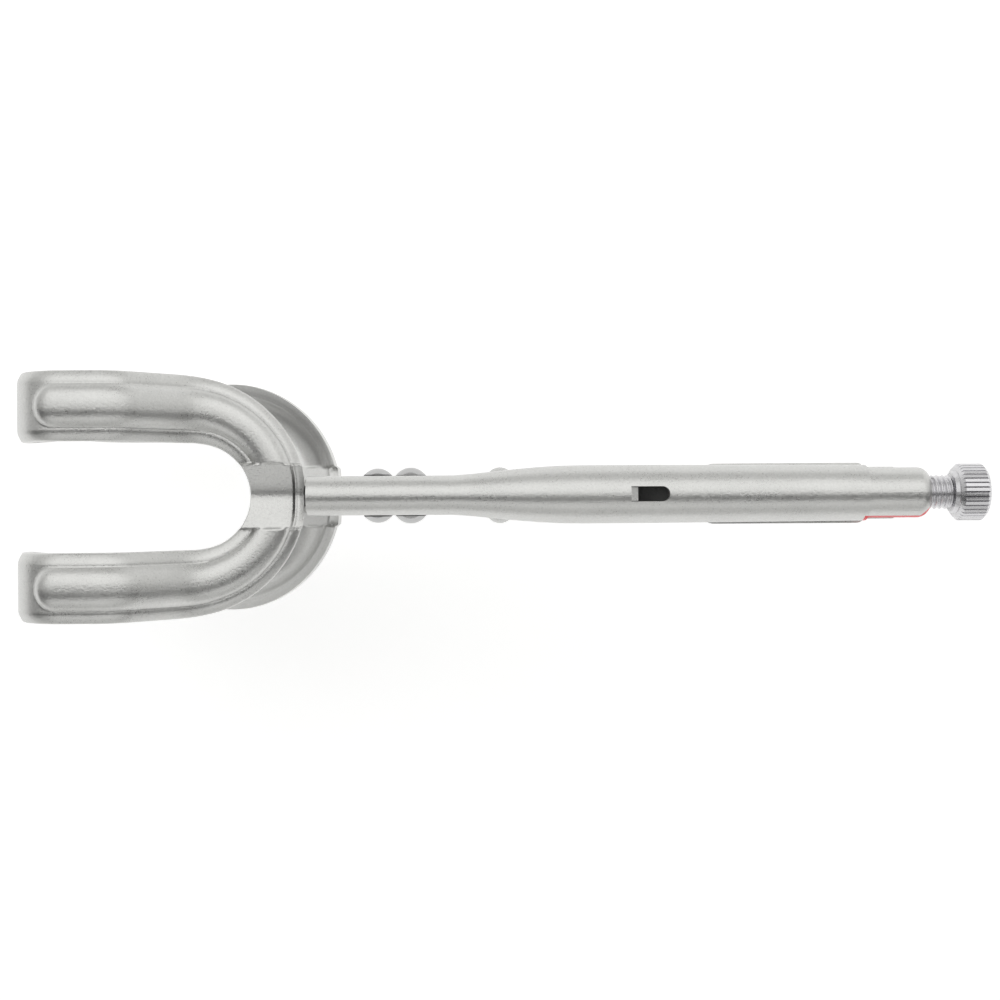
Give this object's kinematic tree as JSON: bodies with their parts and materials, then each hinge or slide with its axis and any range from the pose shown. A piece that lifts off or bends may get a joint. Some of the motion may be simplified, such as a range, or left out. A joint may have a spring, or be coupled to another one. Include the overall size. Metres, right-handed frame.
{
  "type": "locking pliers",
  "caption": "Locking welding pliers with arched U-shaped jaws, an over-centre toggle handle, a release lever and a knurled adjusting screw.",
  "frame": {"origin": "midway between the closed jaws' tips, where work is gripped", "axes": "+X runs back from the jaw tips towards the adjusting screw, +Y across the jaws, +Z from the moving jaw towards the fixed jaw and the back of the fixed handle"},
  "size_m": [0.276, 0.0728, 0.0968],
  "materials": {
    "satin_nickel": "satin nickel plate with a fine blasted grain",
    "plate_steel": "satin plated plate",
    "weld_metal": "plated weld bead",
    "polished_rivet": "polished",
    "satin_rivet": "satin",
    "bright_zinc": "bright zinc plate",
    "black_oxide": "black oxide",
    "spring_steel": "dark drawn wire"
  },
  "bodies": {
    "frame": {"fixed_handle": "satin_nickel", "upper_jaw": "satin_nickel", "fixed_jaw_stem": "plate_steel", "upper_weld": "weld_metal", "stem_rivet": "polished_rivet", "main_pivot_rivet": "polished_rivet", "screw_block": "satin_nickel", "extension_spring": "spring_steel"},
    "screw": {"screw_shank": "bright_zinc"},
    "screw_head": {"knurled_head": "bright_zinc"},
    "moving_jaw": {"lower_jaw": "satin_nickel", "moving_jaw_lever": "plate_steel", "lower_weld": "weld_metal"},
    "moving_handle": {"moving_handle": "satin_nickel", "handle_rivet": "satin_rivet", "toggle_rivet": "satin_rivet", "release_rivet": "satin_rivet"},
    "toggle_link": {"toggle_link": "black_oxide"},
    "release_lever": {"release_lever": "satin_nickel"}
  },
  "joints": [
    {"name": "jaw_pivot", "type": "hinge", "parent": "frame", "child": "moving_jaw", "pos_m": [0.1077, 0, 0.009], "axis": [0, -1, 0], "range_deg": [0, 24], "deforming": ["extension_spring"]},
    {"name": "handle_pivot", "type": "hinge", "parent": "moving_jaw", "child": "moving_handle", "pos_m": [0.1343, 0, -0.007], "axis": [0, -1, 0], "range_deg": [-62.5, 0]},
    {"name": "toggle_pivot", "type": "hinge", "parent": "moving_handle", "child": "toggle_link", "pos_m": [0.1771, 0, 0.0066], "axis": [0, -1, 0], "range_deg": [0, 55.3]},
    {"name": "release_pivot", "type": "hinge", "parent": "moving_handle", "child": "release_lever", "pos_m": [0.2303, 0, 0.0025], "axis": [0, 1, 0], "range_deg": [0, 6]},
    {"name": "screw_feed", "type": "slide", "parent": "frame", "child": "screw", "axis": [1, 0, 0], "range_m": [0, 0.0075]},
    {"name": "knob_spin", "type": "hinge", "parent": "screw", "child": "screw_head", "pos_m": [0.269, 0, 0.021], "axis": [1, 0, 0], "range_deg": [0, 1805]}
  ],
  "couplings": [
    {"joint": "handle_pivot", "follows": "jaw_pivot", "ratio": -2.6},
    {"joint": "toggle_pivot", "follows": "jaw_pivot", "ratio": 2.3},
    {"joint": "knob_spin", "follows": "screw_feed", "rad_per_m": 4188.8}
  ]
}
